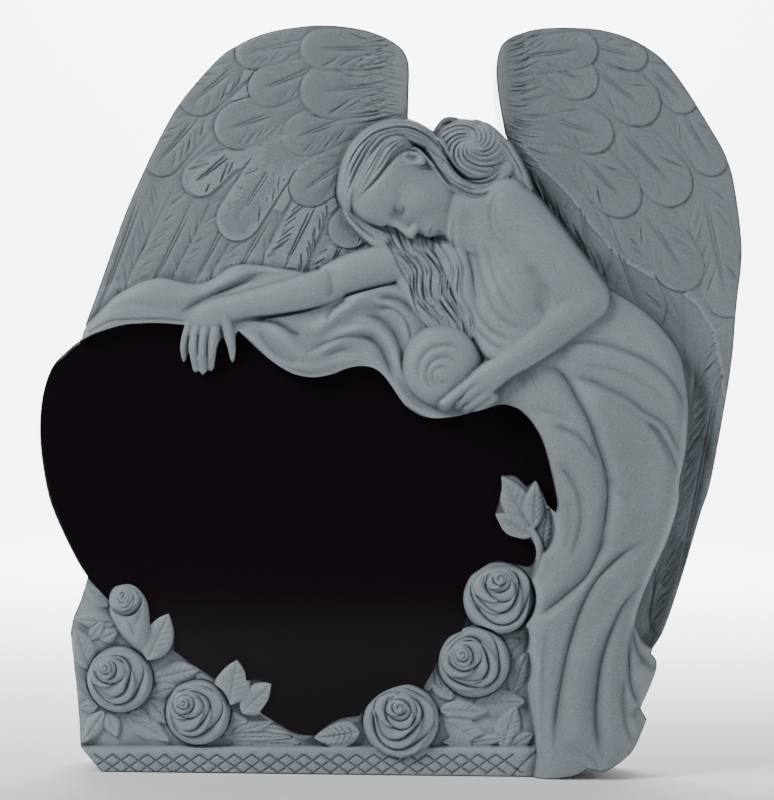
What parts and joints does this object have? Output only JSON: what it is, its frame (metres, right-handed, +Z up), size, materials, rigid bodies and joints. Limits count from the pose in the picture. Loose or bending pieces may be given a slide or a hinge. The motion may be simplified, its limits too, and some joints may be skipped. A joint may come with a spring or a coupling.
{
  "type": "carved angel headstone",
  "caption": "Upright granite headstone carved with an angel that leans over a polished heart, with raised wings, roses and a hatched foot band.",
  "frame": {"origin": "middle of the stone's underside, on the middle of its overall width and depth", "axes": "+Z up, the carved front faces -Y, +X to the right of a viewer who faces the carving"},
  "size_m": [0.983, 0.2, 1.053],
  "materials": {
    "granite": "black granite, carved faces dressed matt grey, heart and edges polished black"
  },
  "bodies": {
    "root": {"angel_headstone": "granite"}
  },
  "joints": []
}
